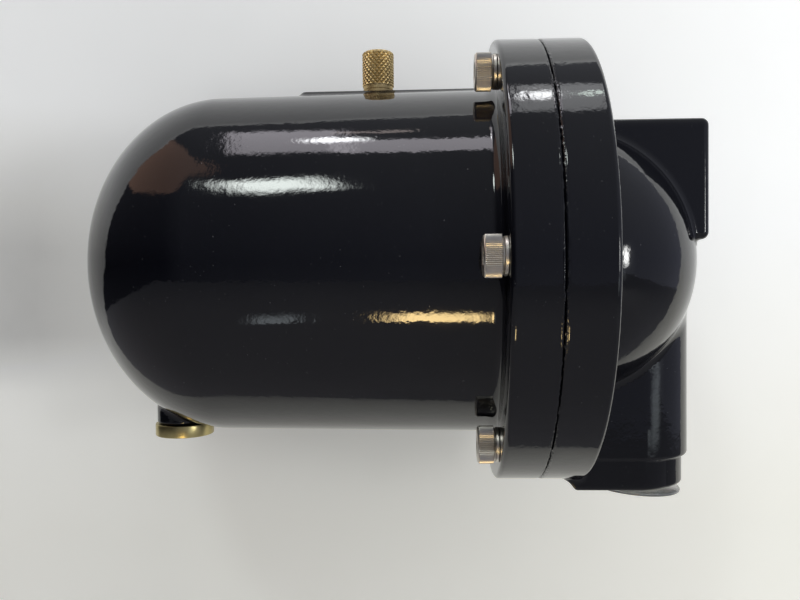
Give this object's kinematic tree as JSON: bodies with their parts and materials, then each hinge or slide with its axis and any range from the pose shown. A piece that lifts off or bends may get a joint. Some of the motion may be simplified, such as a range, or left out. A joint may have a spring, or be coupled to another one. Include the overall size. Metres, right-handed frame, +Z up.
{
  "type": "magnetic system filter",
  "caption": "Cast magnetic dirt filter for a heating circuit: a domed bowl bolted to a ported head, with a knurled vent cap, a brass drain plug and a magnet rod inside.",
  "frame": {"origin": "centre of the outlet port's mouth, under the head", "axes": "+X along the vessel from the bowl's dome to the head and out of the inlet port; +Z up, from the outlet and the drain plug towards the vent cap"},
  "size_m": [0.2255, 0.16, 0.1657],
  "materials": {
    "black_paint": "gloss",
    "brass": "satin",
    "nickel_steel": "satin",
    "stainless_steel": "brushed",
    "seal_rubber": "matte",
    "clear_polythene": "satin",
    "magnet": "satin",
    "pole_steel": "satin"
  },
  "bodies": {
    "head_casting": {"head": "black_paint", "flange_o_ring": "seal_rubber"},
    "bowl_casting": {"bowl": "black_paint", "vent_body": "brass"},
    "cartridge": {"flow_tube": "stainless_steel", "tube_o_ring": "seal_rubber", "front_spider": "stainless_steel", "rear_spider": "stainless_steel", "magnet_sheath": "stainless_steel", "sheath_stud_cap": "stainless_steel", "sheath_end_cap": "stainless_steel", "magnet_1": "magnet", "magnet_2": "magnet", "magnet_3": "magnet", "magnet_4": "magnet", "pole_piece_1": "pole_steel", "pole_piece_2": "pole_steel", "pole_piece_3": "pole_steel", "pole_piece_4": "pole_steel", "pole_piece_5": "pole_steel", "rod_washer": "stainless_steel", "rod_nut": "stainless_steel"},
    "washer_1": {"spring_washer_1": "nickel_steel"},
    "washer_2": {"spring_washer_2": "nickel_steel"},
    "washer_3": {"spring_washer_3": "nickel_steel"},
    "washer_4": {"spring_washer_4": "nickel_steel"},
    "washer_5": {"spring_washer_5": "nickel_steel"},
    "washer_6": {"spring_washer_6": "nickel_steel"},
    "screw_1": {"flange_screw_1": "nickel_steel"},
    "screw_2": {"flange_screw_2": "nickel_steel"},
    "screw_3": {"flange_screw_3": "nickel_steel"},
    "screw_4": {"flange_screw_4": "nickel_steel"},
    "screw_5": {"flange_screw_5": "nickel_steel"},
    "screw_6": {"flange_screw_6": "nickel_steel"},
    "vent_ring": {"vent_seal": "seal_rubber"},
    "vent_knob": {"vent_cap": "brass"},
    "drain_ring": {"drain_seal": "seal_rubber"},
    "drain_screw": {"drain_plug": "brass"},
    "inlet_stopper": {"inlet_plug": "clear_polythene"},
    "outlet_stopper": {"outlet_plug": "clear_polythene"}
  },
  "joints": [
    {"name": "bowl_slide", "type": "slide", "parent": "head_casting", "child": "bowl_casting", "axis": [-1, 0, 0], "range_m": [0, 0.15]},
    {"name": "cartridge_slide", "type": "slide", "parent": "head_casting", "child": "cartridge", "axis": [-1, 0, 0], "range_m": [0, 0.03]},
    {"name": "screw_1_travel", "type": "slide", "parent": "bowl_casting", "child": "washer_1", "axis": [-1, 0, 0], "range_m": [0, 0.0082]},
    {"name": "screw_1_turn", "type": "hinge", "parent": "washer_1", "child": "screw_1", "pos_m": [-0.0545, -0.0715, 0.082], "axis": [-1, 0, 0], "range_deg": [0, 2340]},
    {"name": "screw_2_travel", "type": "slide", "parent": "bowl_casting", "child": "washer_2", "axis": [-1, 0, 0], "range_m": [0, 0.0082]},
    {"name": "screw_2_turn", "type": "hinge", "parent": "washer_2", "child": "screw_2", "pos_m": [-0.0545, -0.03575, 0.14392], "axis": [-1, 0, 0], "range_deg": [0, 2340]},
    {"name": "screw_3_travel", "type": "slide", "parent": "bowl_casting", "child": "washer_3", "axis": [-1, 0, 0], "range_m": [0, 0.0082]},
    {"name": "screw_3_turn", "type": "hinge", "parent": "washer_3", "child": "screw_3", "pos_m": [-0.0545, 0.03575, 0.14392], "axis": [-1, 0, 0], "range_deg": [0, 2340]},
    {"name": "screw_4_travel", "type": "slide", "parent": "bowl_casting", "child": "washer_4", "axis": [-1, 0, 0], "range_m": [0, 0.0082]},
    {"name": "screw_4_turn", "type": "hinge", "parent": "washer_4", "child": "screw_4", "pos_m": [-0.0545, 0.0715, 0.082], "axis": [-1, 0, 0], "range_deg": [0, 2340]},
    {"name": "screw_5_travel", "type": "slide", "parent": "bowl_casting", "child": "washer_5", "axis": [-1, 0, 0], "range_m": [0, 0.0082]},
    {"name": "screw_5_turn", "type": "hinge", "parent": "washer_5", "child": "screw_5", "pos_m": [-0.0545, 0.03575, 0.02008], "axis": [-1, 0, 0], "range_deg": [0, 2340]},
    {"name": "screw_6_travel", "type": "slide", "parent": "bowl_casting", "child": "washer_6", "axis": [-1, 0, 0], "range_m": [0, 0.0082]},
    {"name": "screw_6_turn", "type": "hinge", "parent": "washer_6", "child": "screw_6", "pos_m": [-0.0545, -0.03575, 0.02008], "axis": [-1, 0, 0], "range_deg": [0, 2340]},
    {"name": "vent_travel", "type": "slide", "parent": "bowl_casting", "child": "vent_ring", "axis": [0, 0, 1], "range_m": [0, 0.0029]},
    {"name": "vent_turn", "type": "hinge", "parent": "vent_ring", "child": "vent_knob", "pos_m": [-0.0945, 0, 0.1473], "axis": [0, 0, 1], "range_deg": [0, 1440]},
    {"name": "drain_travel", "type": "slide", "parent": "bowl_casting", "child": "drain_ring", "axis": [0, 0, -1], "range_m": [0, 0.0086]},
    {"name": "drain_turn", "type": "hinge", "parent": "drain_ring", "child": "drain_screw", "pos_m": [-0.1709, 0, 0.0218], "axis": [0, 0, -1], "range_deg": [0, 2304]},
    {"name": "inlet_plug_slide", "type": "slide", "parent": "head_casting", "child": "inlet_stopper", "axis": [1, 0, 0], "range_m": [0, 0.02]},
    {"name": "outlet_plug_slide", "type": "slide", "parent": "head_casting", "child": "outlet_stopper", "axis": [0, 0, -1], "range_m": [0, 0.02]}
  ],
  "couplings": [
    {"joint": "screw_1_travel", "follows": "screw_1_turn", "m_per_rad": 0.00019894},
    {"joint": "screw_2_travel", "follows": "screw_2_turn", "m_per_rad": 0.00019894},
    {"joint": "screw_3_travel", "follows": "screw_3_turn", "m_per_rad": 0.00019894},
    {"joint": "screw_4_travel", "follows": "screw_4_turn", "m_per_rad": 0.00019894},
    {"joint": "screw_5_travel", "follows": "screw_5_turn", "m_per_rad": 0.00019894},
    {"joint": "screw_6_travel", "follows": "screw_6_turn", "m_per_rad": 0.00019894},
    {"joint": "vent_travel", "follows": "vent_turn", "m_per_rad": 0.00011141},
    {"joint": "drain_travel", "follows": "drain_turn", "m_per_rad": 0.00021279}
  ]
}
